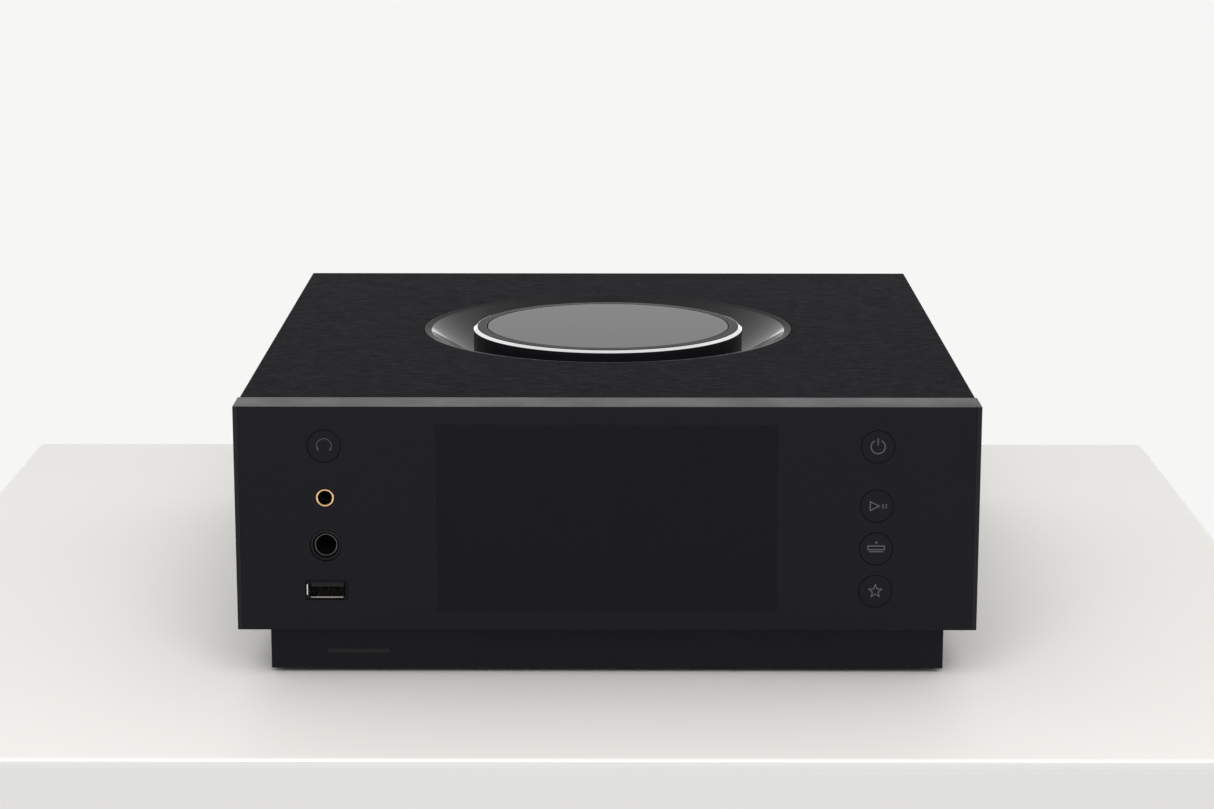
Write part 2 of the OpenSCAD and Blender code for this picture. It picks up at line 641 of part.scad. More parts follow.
// Insulated wires and flat ribbons between the boards
module internal_cables() color([0.3, 0.3, 0.32]) {
  // mains leads from the inlet to the switch
  for (dx = [-7, 7])
    wire([[inlet_at[0] + dx, panel_in - 24, inlet_at[1] - 2], [inlet_at[0] + dx, panel_in - 27, inlet_at[1] - 2],
          [inlet_at[0] + dx, panel_in - 31, inlet_at[1] + 5], [inlet_at[0] + dx, panel_in - 31, rocker_at[1] - 6],
          [inlet_at[0] + dx / 2, panel_in - 26, rocker_at[1]],
          [inlet_at[0] + dx / 2, panel_in - 15, rocker_at[1]]], 1.3);
  // transformer secondaries to the power board
  for (dx = [0, 4])
    wire([[coil_at[0] + coil_r + 1, coil_at[1] - 6 - dx, 50], [coil_at[0] + coil_r + 4, coil_at[1] - 12 - dx, 60],
          [9 + dx, -44, 60], [11 + dx, -56, 50], [11 + dx, -56, deck_z + board_t]], 1.3);
  // dial ribbon, from the dial's plug down to the main board
  translate([0, dial_y + 3.8, 0]) rotate([90, 0, 0]) linear_extrude(7.6) polygon([
    [-0.3, pcb_z - 1.6], [0.3, pcb_z - 1.6], [0.3, 50.2], [13.3, 40.2], [13.3, deck_z + 7.6],
    [12.7, deck_z + 7.6], [12.7, 39.9], [-0.3, 49.9]
  ]);
  // display ribbon, through the slot in the bulkhead
  translate([-18, 0, 0]) rotate([90, 0, 90]) linear_extrude(34) polygon([
    [board_front + board_t, 33.3], [-60, 33.3], [-48, 46.3], [-47.4, 46.3], [-59.6, 32.7],
    [board_front + board_t, 32.7]
  ]);
}

// ---------- Rear ----------

module rear_panel() color([0.12, 0.12, 0.13]) difference() {
  slab([-tray_hw, panel_in, fascia_z], [tray_hw, panel_out, cover_z - gap]);
  bar_y(inlet_at, panel_in - over, panel_out + over, 27.8, 20.2, 2);
  bar_y(rocker_at, panel_in - over, panel_out + over, 13.4, 19.6, 0.8);
  for (p = xlr_spots) rod_y(p, panel_in - over, panel_out + over, 11.7);
  for (p = phono_spots) rod_y(p, panel_in - over, panel_out + over, 4.7);
  for (p = optical_spots) bar_y(p, panel_in - over, panel_out + over, 10, 10, 0.5);
  bar_y(network_at, panel_in - over, panel_out + over, 16.6, 14, 0.5);
  for (p = aerial_spots) rod_y(p, panel_in - over, panel_out + over, 3.2);
  for (p = panel_screws()) rod_y(p, panel_in - over, panel_out + over, pass_r);
}

module mains_inlet() color([0.07, 0.07, 0.07]) difference() {
  union() {
    bar_y(inlet_at, panel_out, panel_out + 3, 50, 23, 3);
    bar_y(inlet_at, panel_in - 20, panel_out + 0.1, 27.4, 19.8, 1.8);
  }
  bar_y(inlet_at, panel_out + 3 - 16, panel_out + 3 + over, 24.2, 16.4, 2.5);
  for (x = [-20, 20]) rod_y(inlet_at + [x, 0], panel_out - over, panel_out + 4, 1.7);
  for (p = mains_blades()) blade(p);
}

function mains_blades() = [inlet_at + [-7, -2], inlet_at + [7, -2], inlet_at + [0, 2]];
module blade(at) slab([at[0] - 1, panel_in - 24, at[1] - 2], [at[0] + 1, panel_out + 1, at[1] + 2]);
function xlr_pins(p) = [for (a = [30, 150, 270]) p + 4.3 * [cos(a), sin(a)]];

module connector_pins() color("gold") {
  for (p = mains_blades()) blade(p);
  for (s = xlr_spots) for (p = xlr_pins(s)) rod_y(p, panel_in - 12, panel_out - 1, 1.2);
}

module switch_body() color([0.07, 0.07, 0.07]) difference() {
  union() {
    bar_y(rocker_at, panel_out, panel_out + 2, 15.6, 22, 1);
    bar_y(rocker_at, panel_in - 15, panel_out + 0.1, 13, 19.2, 0.6);
  }
  bar_y(rocker_at, panel_in - 6, panel_out + 2 + over, 11, 17.6, 0.5);
  facing_x(rocker_pivot, 12.4) cylinder(r = 1.55, h = 12.4);
}

// Pivot of the rocker, as [y, z]
rocker_pivot = [panel_out - 1.2, rocker_at[1]];
rocker_tilt = 9;

// Children drawn along +Z from 0 to w are centred on the rocker and turned along +X
module facing_x(at, w) translate([rocker_at[0] - w / 2, at[0], at[1]]) rotate([0, 90, 0]) children();

// Paddle of the mains switch, at rest with its upper half in
module power_rocker() color([0.06, 0.06, 0.06]) translate([0, rocker_pivot[0], rocker_pivot[1]])
  rotate([rocker_tilt, 0, 0]) translate([0, -rocker_pivot[0], -rocker_pivot[1]]) {
    translate([rocker_at[0] - 5.3, rocker_pivot[0], rocker_pivot[1]]) rotate([90, 0, 90])
      linear_extrude(10.6) polygon([[-2.5, -4.5], [1.4, -8], [3.9, -8], [3, 0], [3.9, 8], [1.4, 8], [-2.5, 4.5]]);
    facing_x(rocker_pivot, 12.2) cylinder(r = 1.5, h = 12.2);
  }

module phono_barrels() color("gold") for (p = phono_spots) difference() {
  union() {
    rod_y(p, panel_in, phono_tip, phono_r);
    rod_y(p, panel_out, panel_out + 1.5, 5.6);
  }
  rod_y(p, panel_in - over, phono_tip + over, 3.3);
}

module phono_housings() color([0.07, 0.07, 0.07]) {
  for (b = phono_blocks) difference() {
    union() {
      slab([b[0] - 6.5, panel_in - 12, deck_z + board_t], [b[0] + 6.5, panel_in, 44.5 + 18 * (b[1] - 1)]);
      for (p = phono_spots) if (p[0] == b[0]) rod_y(p, panel_in - 0.1, phono_tip - 0.3, 3.3);
    }
    for (p = phono_spots) if (p[0] == b[0]) rod_y(p, panel_in - 6, phono_tip + over, phono_bore);
  }
}

module balanced_outputs() color([0.6, 0.6, 0.62]) for (p = xlr_spots) difference() {
  union() {
    bar_y(p, panel_out, panel_out + 2, 26, 31, 3);
    rod_y(p, panel_in - 18, panel_out + 0.1, 11.5);
  }
  rod_y(p, panel_out + 2 - 15, panel_out + 2 + over, 8.6);
  for (q = xlr_pins(p)) rod_y(q, panel_in - 12, panel_out, 1.2);
  for (s = [-1, 1]) rod_y(p + s * [9.5, 12], panel_out - over, panel_out + 3, 1.6);
}

module optical_sockets() color([0.08, 0.08, 0.08]) for (p = optical_spots) difference() {
  union() {
    bar_y(p, panel_in - 12, panel_out + 0.6, 9.7, 9.7, 0.4);
    slab([p[0] - 4.5, panel_in - 12, deck_z + board_t], [p[0] + 4.5, panel_in - 1, p[1]]);
  }
  bar_y(p, panel_out - 7, panel_out + 0.6 + over, 8.4, 8.4, 1.6);
  rod_y(p, panel_in - 10, panel_out, 1.4);
}

module network_socket() color("silver") difference() {
  union() {
    bar_y(network_at, panel_in - 19, panel_out + 0.6, 16.2, 13.6, 0.4);
    slab([network_at[0] - 7.8, panel_in - 19, deck_z + board_t], [network_at[0] + 7.8, panel_in - 1, network_at[1]]);
  }
  bar_y(network_at - [0, 0.6], panel_out - 13, panel_out + 0.6 + over, 11.8, 8.4, 0.3);
  bar_y(network_at + [0, 4.2], panel_out - 13, panel_out + 0.6 + over, 6, 2.6, 0.2);
}

module aerial_sockets() color("gold") for (p = aerial_spots) difference() {
  union() {
    facing_back(p[0], panel_out, p[1]) cylinder(r = 4.6, h = 2, $fn = 6);
    rod_y(p, panel_in - 5, panel_out + 7.5, 3.1);
    facing_back(p[0], panel_in - 2, p[1]) cylinder(r = 4.6, h = 2, $fn = 6);
  }
  rod_y(p, panel_out + 1.5, panel_out + 7.5 + over, 2.2);
  rod_y(p, panel_out - 2, panel_out + 7.5 + over, 0.65);
}

base_tray();
bulkhead();
plinth();
status_window();
rubber_feet();
left_heatsink();
right_heatsink();
case_screws();
top_cover();
dial_bowl();
front_fascia();
front_panel();
display_window();
display_module();
front_board();
button_switches();
button_carrier();
balanced_jack_ring();
balanced_jack_body();
headphone_jack_bush();
headphone_jack_body();
usb_shell();
usb_tongue();
socket_board();
bearing_inner_race();
bearing_retainer();
dial_hub();
dial_lens();
dial_light_ring();
dial_board();
transformer();
transformer_pads();
transformer_clamp();
power_board();
reservoir_capacitors();
main_board();
shield_can();
amplifier_board();
output_transistors();
rear_panel();
mains_inlet();
connector_pins();
switch_body();
phono_barrels();
phono_housings();
balanced_outputs();
optical_sockets();
network_socket();
aerial_sockets();
internal_cables();
dial_wheel();
dial_rim();
bearing_outer_race();
bearing_balls();
headphone_button();
power_button();
play_button();
input_button();
favourite_button();
power_rocker();
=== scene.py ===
"""Looks of the desktop digital audio player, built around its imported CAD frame."""

import math

import bmesh
import bpy
from mathutils import Matrix, Vector


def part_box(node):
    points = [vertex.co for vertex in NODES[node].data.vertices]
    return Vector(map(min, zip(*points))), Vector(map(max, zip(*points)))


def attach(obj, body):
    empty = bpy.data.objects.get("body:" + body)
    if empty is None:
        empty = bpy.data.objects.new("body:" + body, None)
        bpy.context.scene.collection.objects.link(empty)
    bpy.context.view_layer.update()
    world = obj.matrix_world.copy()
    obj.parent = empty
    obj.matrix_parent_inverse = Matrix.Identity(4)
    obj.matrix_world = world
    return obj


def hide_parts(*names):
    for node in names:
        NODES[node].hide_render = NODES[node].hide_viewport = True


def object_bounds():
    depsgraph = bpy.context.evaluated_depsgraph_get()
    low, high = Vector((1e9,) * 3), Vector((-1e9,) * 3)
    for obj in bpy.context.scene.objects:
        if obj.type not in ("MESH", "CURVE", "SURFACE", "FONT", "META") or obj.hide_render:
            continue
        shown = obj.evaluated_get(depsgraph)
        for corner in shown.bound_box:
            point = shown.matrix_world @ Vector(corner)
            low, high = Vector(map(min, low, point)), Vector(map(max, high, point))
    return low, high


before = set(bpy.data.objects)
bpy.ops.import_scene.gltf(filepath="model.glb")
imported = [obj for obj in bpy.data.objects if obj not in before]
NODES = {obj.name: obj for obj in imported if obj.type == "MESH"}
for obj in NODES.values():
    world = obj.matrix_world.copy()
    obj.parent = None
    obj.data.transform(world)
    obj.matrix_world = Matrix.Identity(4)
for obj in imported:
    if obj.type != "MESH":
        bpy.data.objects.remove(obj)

CAD_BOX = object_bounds()
MM = 0.001

# ---------------------------------------------------------------- places

FRONT = CAD_BOX[0][1]
DIAL_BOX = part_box("dial_wheel")
DIAL_X = (DIAL_BOX[0][0] + DIAL_BOX[1][0]) / 2
DIAL_Y = (DIAL_BOX[0][1] + DIAL_BOX[1][1]) / 2
COVER_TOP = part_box("top_cover")[1][2]
TOP = CAD_BOX[1][2]


def middle(node):
    """Centre of a CAD node's box."""
    low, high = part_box(node)
    return [(a + b) / 2 for a, b in zip(low, high)]


# ---------------------------------------------------------------- materials


class Finish:
    """A Principled material and short names for the nodes that vary it."""

    def __init__(self, name, colour, rough, metal=0.0, spec=0.5):
        self.mat = bpy.data.materials.new(name)
        self.mat.use_nodes = True
        self.tree = self.mat.node_tree
        self.bsdf = self.tree.nodes["Principled BSDF"]
        self.colour = colour
        self.rough = rough
        self.set("Base Color", (*colour, 1.0))
        self.set("Roughness", rough)
        self.set("Metallic", metal)
        self.set("Specular IOR Level", spec)

    def set(self, socket, value):
        self.bsdf.inputs[socket].default_value = value

    def node(self, kind, **values):
        made = self.tree.nodes.new(kind)
        for key, value in values.items():
            if key in made.inputs:
                made.inputs[key].default_value = value
            else:
                setattr(made, key, value)
        return made

    def link(self, a, b):
        self.tree.links.new(a, b)

    def noise(self, scale, detail=4.0, distortion=0.0):
        """Noise on object coordinates; scale is features per metre, one number or one per axis."""
        coords = self.node("ShaderNodeTexCoord")
        mapping = self.node("ShaderNodeMapping")
        mapping.inputs["Scale"].default_value = scale if isinstance(scale, tuple) else (scale,) * 3
        noise = self.node("ShaderNodeTexNoise")
        noise.inputs["Scale"].default_value = 1.0
        noise.inputs["Detail"].default_value = detail
        noise.inputs["Distortion"].default_value = distortion
        self.link(coords.outputs["Object"], mapping.inputs["Vector"])
        self.link(mapping.outputs["Vector"], noise.inputs["Vector"])
        return noise.outputs["Fac"]

    def spread(self, value, low, high, start=0.3, end=0.7):
        """Maps a noise value from start..end to low..high."""
        ramp = self.node("ShaderNodeMapRange")
        ramp.inputs["From Min"].default_value = start
        ramp.inputs["From Max"].default_value = end
        ramp.inputs["To Min"].default_value = low
        ramp.inputs["To Max"].default_value = high
        self.link(value, ramp.inputs["Value"])
        return ramp.outputs["Result"]

    def vary_rough(self, value, amount):
        self.link(
            self.spread(value, max(self.rough - amount, 0.01), self.rough + amount),
            self.bsdf.inputs["Roughness"],
        )
        return self

    def vary_colour(self, value, low, high, start=0.3, end=0.7):
        """Base colour runs from colour * low to colour * high."""
        mix = self.node("ShaderNodeMix", data_type="RGBA")
        mix.inputs[6].default_value = (*[c * low for c in self.colour], 1.0)
        mix.inputs[7].default_value = (*[c * high for c in self.colour], 1.0)
        self.link(self.spread(value, 0.0, 1.0, start, end), mix.inputs[0])
        self.link(mix.outputs[2], self.bsdf.inputs["Base Color"])
        return self

    def bump(self, value, height):
        """Height in metres between the noise's lowest and highest point."""
        bump = self.node("ShaderNodeBump")
        bump.inputs["Distance"].default_value = height
        self.link(value, bump.inputs["Height"])
        self.link(bump.outputs["Normal"], self.bsdf.inputs["Normal"])
        return self


def blasted(name, colour, rough, spec):
    """Anodised or painted metal: a fine even grain, and hardly any change over a hand's width."""
    finish = Finish(name, colour, rough, 0.0, spec)
    grain, patches = finish.noise(2600.0, 3.0), finish.noise(55.0, 3.0)
    finish.vary_rough(patches, 0.05)
    finish.vary_colour(grain, 0.9, 1.1)
    return finish.bump(grain, 1.2e-5).mat


def moulded(name, colour, rough, spec):
    """Moulded plastic or rubber: soft mottling and a slight orange peel."""
    finish = Finish(name, colour, rough, 0.0, spec)
    mottling = finish.noise(90.0, 2.0)
    sheen = finish.noise(240.0, 3.0)
    peel = finish.noise(900.0, 2.0)
    finish.vary_rough(sheen, 0.05)
    finish.vary_colour(mottling, 0.9, 1.12)
    return finish.bump(peel, 1.0e-5).mat


def metal(name, colour, rough):
    """Bare or plated metal with faint tool marks."""
    finish = Finish(name, colour, rough, 1.0)
    marks = finish.noise(300.0, 5.0)
    finish.vary_rough(marks, 0.08)
    return finish.bump(marks, 4.0e-6).mat


def brushed_cover(name):
    """Black anodised sheet brushed from side to side, in short overlapping strokes."""
    finish = Finish(name, (0.0072, 0.0072, 0.0092), 0.6, 0.0, 0.0033)
    streaks = finish.noise((190.0, 1300.0, 300.0), 3.0, 0.3)
    hairs = finish.noise((600.0, 3600.0, 900.0), 2.0)
    both = finish.node("ShaderNodeMath", operation="ADD")
    finish.link(streaks, both.inputs[0])
    finish.link(hairs, both.inputs[1])
    span = (0.72, 1.30)
    finish.vary_colour(both.outputs[0], 0.45, 1.9, *span)
    finish.link(finish.spread(both.outputs[0], 0.58, 0.40, *span), finish.bsdf.inputs["Roughness"])
    finish.bump(both.outputs[0], 1.6e-5)
    return finish.mat


RING_SCALE = 1500.0
RING_HEIGHT = 2.0e-6


def ring_turned(name, colour, rough, metallic, spec):
    """Metal or lacquer turned on a lathe: very fine rings about the dial's axis."""
    finish = Finish(name, colour, rough, metallic, spec)
    coords = finish.node("ShaderNodeTexCoord")
    shift = finish.node("ShaderNodeMapping")
    shift.inputs["Location"].default_value = (-DIAL_X, -DIAL_Y, -TOP)
    wave = finish.node("ShaderNodeTexWave", wave_type="RINGS", rings_direction="Z")
    wave.inputs["Scale"].default_value = RING_SCALE
    wave.inputs["Distortion"].default_value = 1.5
    finish.link(coords.outputs["Object"], shift.inputs["Vector"])
    finish.link(shift.outputs["Vector"], wave.inputs["Vector"])
    finish.vary_rough(finish.noise(120.0, 3.0), 0.02)
    finish.bump(wave.outputs["Fac"], RING_HEIGHT)
    return finish.mat


def lacquer(name, colour, rough, spec):
    """Gloss black, with only the faintest unevenness."""
    finish = Finish(name, colour, rough, 0.0, spec)
    finish.vary_rough(finish.noise(30.0, 2.0), rough * 0.25)
    return finish.mat


MATERIALS = {
    "fascia": blasted("fascia_black", (0.0039, 0.0036, 0.0061), 0.33, 0.14),
    "frame": blasted("frame_black", (0.0047, 0.0043, 0.0064), 0.36, 0.22),
    "cap": blasted("button_black", (0.0037, 0.0035, 0.0057), 0.33, 0.14),
    "window": lacquer("window_black", (0.0029, 0.0026, 0.0048), 0.28, 0.12),
    "cover": brushed_cover("cover_black"),
    "plinth": blasted("plinth_black", (0.0058, 0.0055, 0.0082), 0.45, 0.13),
    "heatsink": blasted("heatsink_black", (0.012, 0.012, 0.014), 0.42, 0.35),
    "rear": blasted("rear_black", (0.014, 0.014, 0.016), 0.5, 0.3),
    "bowl": lacquer("bowl_black", (0.0018, 0.0018, 0.0028), 0.06, 0.33),
    "lip": ring_turned("bowl_lip", (0.0045, 0.0045, 0.006), 0.27, 0.0, 0.010),
    "wheel": ring_turned("dial_black", (0.0062, 0.0060, 0.0076), 0.30, 0.0, 0.27),
    "rim": ring_turned("polished_rim", (0.97, 0.97, 0.98), 0.06, 1.0, 0.5),
    "ring": ring_turned("dial_ring", (0.006, 0.006, 0.007), 0.26, 0.0, 0.012),
    "disc": lacquer("dial_disc", (0.010, 0.010, 0.012), 0.06, 0.11),
    "rubber": moulded("rubber_black", (0.012, 0.012, 0.012), 0.75, 0.3),
    "plastic": moulded("plastic_black", (0.010, 0.010, 0.011), 0.38, 0.4),
    "gloss": moulded("plastic_gloss", (0.006, 0.006, 0.006), 0.15, 0.5),
    "gold": metal("gold_plate", (0.93, 0.61, 0.31), 0.16),
    "gasket": moulded("gasket_black", (0.0045, 0.0045, 0.0055), 0.6, 0.1),
    "bush": moulded("bush_black", (0.0030, 0.0030, 0.0036), 0.22, 0.18),
    "tongue": moulded("tongue_black", (0.0030, 0.0030, 0.0034), 0.18, 0.25),
    "contact": metal("contact_nickel", (0.13, 0.13, 0.13), 0.16),
    "dark_nickel": metal("dark_nickel", (0.17, 0.17, 0.175), 0.27),
    "nickel": metal("nickel_plate", (0.72, 0.71, 0.69), 0.25),
    "zinc": metal("zinc_steel", (0.52, 0.52, 0.53), 0.35),
    "bare": metal("bare_aluminium", (0.70, 0.70, 0.71), 0.30),
    "screw": metal("screw_black", (0.045, 0.045, 0.047), 0.32),
    "bearing": metal("bearing_steel", (0.75, 0.75, 0.76), 0.12),
    "icon": moulded("icon_grey", (0.070, 0.074, 0.080), 0.5, 0.2),
    "icon_dim": moulded("icon_dim_grey", (0.048, 0.050, 0.055), 0.5, 0.2),
    "status": moulded("status_grey", (0.011, 0.011, 0.013), 0.35, 0.2),
    "diffuser": moulded("diffuser_grey", (0.25, 0.25, 0.26), 0.35, 0.5),
    "board": moulded("board_green", (0.010, 0.060, 0.022), 0.35, 0.5),
    "winding": moulded("winding_tape", (0.48, 0.36, 0.06), 0.4, 0.5),
    "sleeve": moulded("capacitor_sleeve", (0.012, 0.012, 0.035), 0.3, 0.5),
    "wire": moulded("wire_grey", (0.18, 0.18, 0.20), 0.5, 0.4),
    "red": moulded("insulator_red", (0.35, 0.012, 0.010), 0.4, 0.4),
    "white": moulded("insulator_white", (0.62, 0.62, 0.60), 0.4, 0.4),
}

SURFACE = {
    "base_tray": "zinc",
    "plinth": "plinth",
    "status_window": "status",
    "rubber_feet": "rubber",
    "bulkhead": "zinc",
    "left_heatsink": "heatsink",
    "right_heatsink": "heatsink",
    "case_screws": "screw",
    "top_cover": "cover",
    "dial_bowl": "bowl",
    "front_fascia": "frame",
    "front_panel": "fascia",
    "display_window": "window",
    "display_module": "plastic",
    "front_board": "board",
    "button_switches": "plastic",
    "button_carrier": "plastic",
    "balanced_jack_ring": "gold",
    "balanced_jack_body": "plastic",
    "headphone_jack_bush": "bush",
    "headphone_jack_body": "plastic",
    "usb_shell": "nickel",
    "usb_tongue": "tongue",
    "socket_board": "board",
    "bearing_inner_race": "bearing",
    "bearing_retainer": "bare",
    "dial_hub": "bare",
    "dial_lens": "disc",
    "dial_light_ring": "ring",
    "dial_board": "board",
    "transformer": "winding",
    "transformer_pads": "rubber",
    "transformer_clamp": "zinc",
    "power_board": "board",
    "reservoir_capacitors": "sleeve",
    "main_board": "board",
    "shield_can": "zinc",
    "amplifier_board": "board",
    "output_transistors": "plastic",
    "rear_panel": "rear",
    "mains_inlet": "plastic",
    "connector_pins": "nickel",
    "switch_body": "plastic",
    "phono_barrels": "gold",
    "phono_housings": "plastic",
    "balanced_outputs": "dark_nickel",
    "optical_sockets": "plastic",
    "network_socket": "zinc",
    "aerial_sockets": "gold",
    "internal_cables": "wire",
    "dial_wheel": "wheel",
    "dial_rim": "rim",
    "bearing_outer_race": "bearing",
    "bearing_balls": "bearing",
    "headphone_button": "cap",
    "power_button": "cap",
    "play_button": "cap",
    "input_button": "cap",
    "favourite_button": "cap",
    "power_rocker": "gloss",
}

# Width in millimetres of the broken edge on each machined or moulded part that shows
EDGES = {
    "front_fascia": 0.06,
    "front_panel": 0.06,
    "top_cover": 0.25,
    "plinth": 0.25,
    "left_heatsink": 0.25,
    "right_heatsink": 0.25,
    "mains_inlet": 0.12,
    "switch_body": 0.25,
    "power_rocker": 0.3,
    "balanced_outputs": 0.25,
    "phono_barrels": 0.15,
    "aerial_sockets": 0.15,
    "network_socket": 0.12,
    "optical_sockets": 0.12,
    "rubber_feet": 0.3,
    "balanced_jack_ring": 0.12,
    "headphone_jack_bush": 0.15,
    "usb_shell": 0.05,
    "usb_tongue": 0.12,
    "headphone_button": 0.16,
    "power_button": 0.16,
    "play_button": 0.16,
    "input_button": 0.16,
    "favourite_button": 0.16,
    "connector_pins": 0.2,
    "status_window": 0.05,
}


WELD_M = 2e-6
EDGE_ANGLE = math.radians(35)


def dress(name):
    """Gives a CAD node its material, broken edges and shading."""
    node = NODES[name]
    node.data.materials.clear()
    node.data.materials.append(MATERIALS[SURFACE[name]])
    width = EDGES.get(name)
    if width:
        weld = node.modifiers.new("weld", "WELD")
        weld.merge_threshold = WELD_M
        bevel = node.modifiers.new("edge", "BEVEL")
        bevel.width = width * MM
        bevel.segments = 3
        bevel.limit_method = "ANGLE"
        bevel.angle_limit = EDGE_ANGLE
        bevel.harden_normals = True


for node_name in NODES:
    dress(node_name)

# ---------------------------------------------------------------- mesh helpers

SMOOTH_ANGLE = math.radians(30)


def make(name, verts, faces, material, body):
    """A piece in the row frame, riding on a body."""
    mesh = bpy.data.meshes.new(name)
    mesh.from_pydata([tuple(v) for v in verts], [], faces)
    mesh.update()
    piece = bpy.data.objects.new(name, mesh)
    bpy.context.scene.collection.objects.link(piece)
    mesh.materials.append(MATERIALS[material])
    mesh.shade_smooth()
    mesh.set_sharp_from_angle(angle=SMOOTH_ANGLE)
    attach(piece, body)
    return piece


# Radius in millimetres of a lathe point that is meant to lie on the axis
ON_AXIS = 0.001


def close_on_axis(mesh):
    """Joins the rings of points that lie on a lathe's axis, so that the ends close in fans."""
    work = bmesh.new()
    work.from_mesh(mesh)
    bmesh.ops.remove_doubles(work, verts=work.verts, dist=3 * ON_AXIS * MM)
    work.to_mesh(mesh)
    work.free()


def lathe(name, profile, material, body, steps=256, centre=None, axis="Z", second=None):
    """Turns a closed profile of (radius, height) in millimetres about a vertical or Y axis.

    second is (material, test): faces whose profile span passes test(r, h) take that material."""
    centre = centre or (DIAL_X, DIAL_Y, 0.0)
    verts = []
    for i in range(steps):
        turn = 2 * math.pi * i / steps
        c, s = math.cos(turn), math.sin(turn)
        for r, h in profile:
            if axis == "Z":
                verts.append((centre[0] + r * MM * c, centre[1] + r * MM * s, centre[2] + h * MM))
            else:
                verts.append((centre[0] + r * MM * s, centre[1] + h * MM, centre[2] + r * MM * c))
    n = len(profile)
    faces = []
    for i in range(steps):
        a, b = i * n, (i + 1) % steps * n
        for j in range(n):
            k = (j + 1) % n
            faces.append((a + j, b + j, b + k, a + k))
    piece = make(name, verts, faces, material, body)
    if profile[0][0] < 2 * ON_AXIS:
        close_on_axis(piece.data)
    piece.modifiers.new("flat_faces", "WEIGHTED_NORMAL").keep_sharp = True
    if second:
        piece.data.materials.append(MATERIALS[second[0]])
        for f, face in enumerate(piece.data.polygons):
            r0, h0 = profile[f % n]
            r1, h1 = profile[(f % n + 1) % n]
            if second[1]((r0 + r1) / 2, (h0 + h1) / 2):
                face.material_index = 1
    return piece


def arc(cx, cz, r, start, end, steps):
    """Points on an arc from start to end degrees."""
    turns = [math.radians(start + (end - start) * i / steps) for i in range(steps + 1)]
    return [(cx + r * math.cos(t), cz + r * math.sin(t)) for t in turns]


def offset_path(points, width, closed):
    """Left and right edges of a stroke of constant width with mitred corners."""
    n = len(points)
    left, right = [], []
    for i, p in enumerate(points):
        before = points[i - 1] if (i or closed) else None
        after = points[(i + 1) % n] if (i < n - 1 or closed) else None
        d0 = (Vector(p) - Vector(before)).normalized() if before is not None else None
        d1 = (Vector(after) - Vector(p)).normalized() if after is not None else None
        d0, d1 = d0 or d1, d1 or d0
        n0 = Vector((-d0.y, d0.x))
        n1 = Vector((-d1.y, d1.x))
        mitre = (n0 + n1).normalized()
        mitre = mitre * (width / 2 / max(mitre.dot(n0), 0.3))
        left.append(Vector(p) + mitre)
        right.append(Vector(p) - mitre)
    return left, right


def strokes(name, paths, width, centre, y_front, depth, material, body):
    """Printed line art facing the front: each path is (points in mm, closed)."""
    verts, faces = [], []
    for points, closed in paths:
        left, right = offset_path(points, width, closed)
        n = len(points)
        base = len(verts)
        for edge in (left, right):
            for y in (y_front, y_front + depth):
                verts += [(centre[0] + p.x * MM, y, centre[1] + p.y * MM) for p in edge]
        lf, lb, rf, rb = (base + k * n for k in range(4))
        spans = range(n if closed else n - 1)
        for i in spans:
            j = (i + 1) % n
            faces += [
                (lf + i, lf + j, rf + j, rf + i),
                (lb + i, rb + i, rb + j, lb + j),
                (lf + i, lb + i, lb + j, lf + j),
                (rf + i, rf + j, rb + j, rb + i),
            ]
        if not closed:
            e = n - 1
            faces += [(lf, rf, rb, lb), (lf + e, lb + e, rb + e, rf + e)]
    return make(name, verts, faces, material, body)


# ---------------------------------------------------------------- dial and recess

# Radii and heights in millimetres. The bowl: its well, foot, lip and outer edge
WELL_R = 50.7
FOOT_R = WELL_R + 0.5
LIP_IN = 65.6
BOWL_R = 68.35
LIP_Z = COVER_TOP / MM
FOOT_Z = LIP_Z - 11.7
SHELL_R = WELL_R + 2
DISC_Z = TOP / MM
BOWL_FLOOR = DISC_Z - 17

# The dial: outside, inside of its wall, groove for its bearing, bore
DIAL_R = 50.0
RIM_SEAT_R = 49.2
WALL_IN = 47.2
BEARING_R = 44.0
STEP_R = 42.0
BORE_R = 40.6
WEB_TOP = 90.0
WEB_LOW = 87.4
SKIRT_LOW = 80.8
WHEEL_TOP = DISC_Z - 0.88
WHEEL_SHOULDER = WHEEL_TOP - 1.5

# The still parts in the middle: flat ring and centre disc, with the foot of both
RING_OUT = 48.50
RING_IN = 45.1
DISC_R = 44.78
DISC_FOOT_Z = 91.4
DISC_T = 1.2

bowl_profile = (
    [(WELL_R, BOWL_FLOOR), (WELL_R, FOOT_Z - 0.4), (WELL_R + 0.12, FOOT_Z - 0.14)]
    + [(WELL_R + 0.3, FOOT_Z - 0.02), (FOOT_R + 0.15, FOOT_Z + 0.12)]
    + [(LIP_IN - 0.1, LIP_Z - 0.50), (LIP_IN + 0.06, LIP_Z - 0.40), (LIP_IN + 0.25, LIP_Z - 0.34)]
    + [(BOWL_R - 0.45, LIP_Z - 0.02), (BOWL_R - 0.25, LIP_Z), (BOWL_R - 0.1, LIP_Z - 0.06)]
    + [(BOWL_R, LIP_Z - 0.3), (BOWL_R, LIP_Z - 4), (77.0, LIP_Z - 4), (77.0, LIP_Z - 6)]
    + [(61.5, LIP_Z - 6), (SHELL_R, FOOT_Z - 1.4), (SHELL_R, BOWL_FLOOR - 2)]
    + [(8.0, BOWL_FLOOR - 2), (8.0, BOWL_FLOOR)]
)
bowl = lathe(
    "bowl_shell",
    bowl_profile,
    "bowl",
    "case",
    second=("lip", lambda r, h: r > LIP_IN + 0.02 and h > LIP_Z - 1),
)
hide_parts("dial_bowl")

